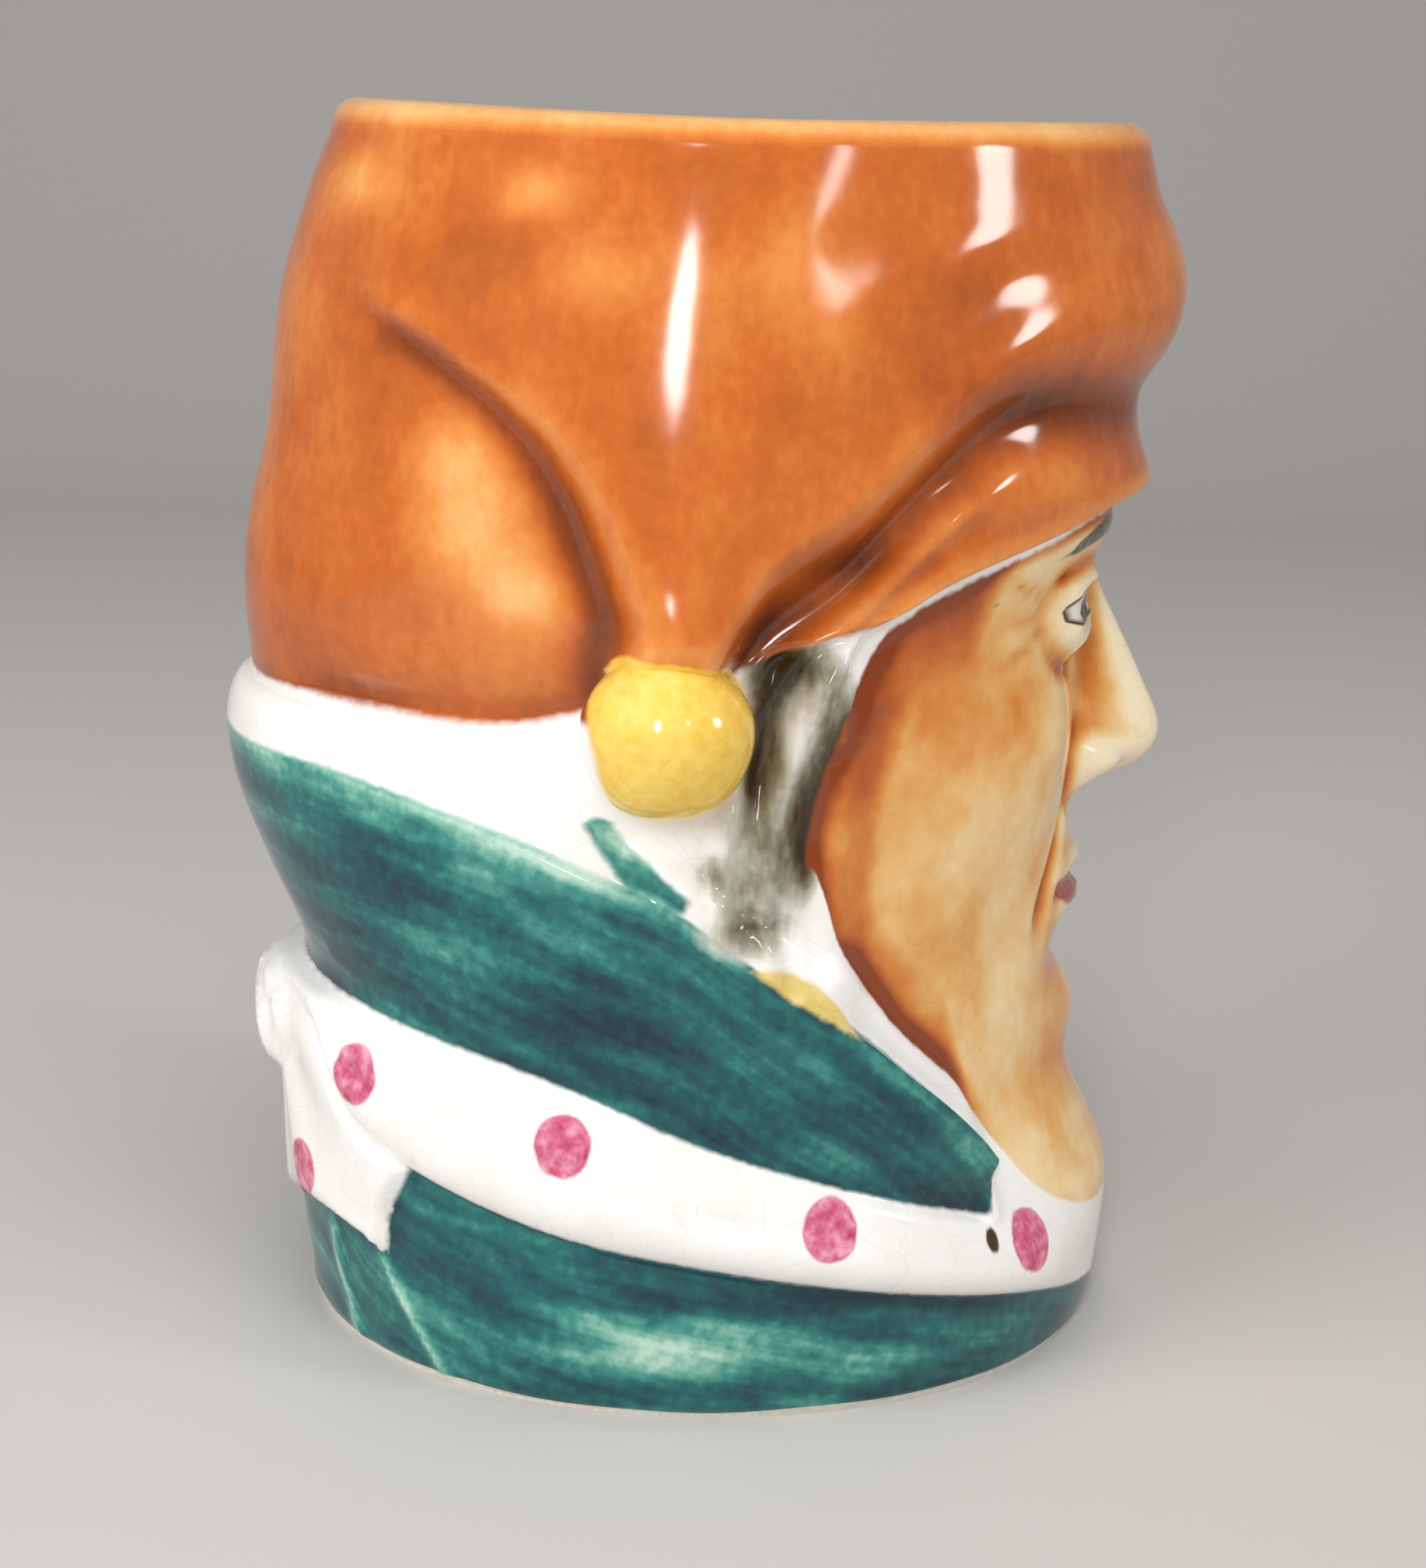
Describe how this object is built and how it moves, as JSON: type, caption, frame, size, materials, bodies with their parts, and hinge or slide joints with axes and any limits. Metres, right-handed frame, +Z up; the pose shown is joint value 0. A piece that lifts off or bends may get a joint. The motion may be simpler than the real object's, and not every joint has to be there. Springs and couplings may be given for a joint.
{
  "type": "toby jug",
  "caption": "Small glazed earthenware drinking jug cast as the head of an old sailor in a drooping stocking cap, with a loop handle at the side.",
  "frame": {"origin": "middle of the flat underside, on the axis that the jug's oval sections share", "axes": "+Z up; the face looks along -Y; the man's right, with the bobble, is -X and his left, with the handle, is +X"},
  "size_m": [0.0805, 0.0703, 0.089],
  "materials": {
    "glazed_earthenware": "hand painted under a clear, crazed gloss glaze, bare along the edge of the foot"
  },
  "bodies": {
    "root": {"jug": "glazed_earthenware"}
  },
  "joints": []
}
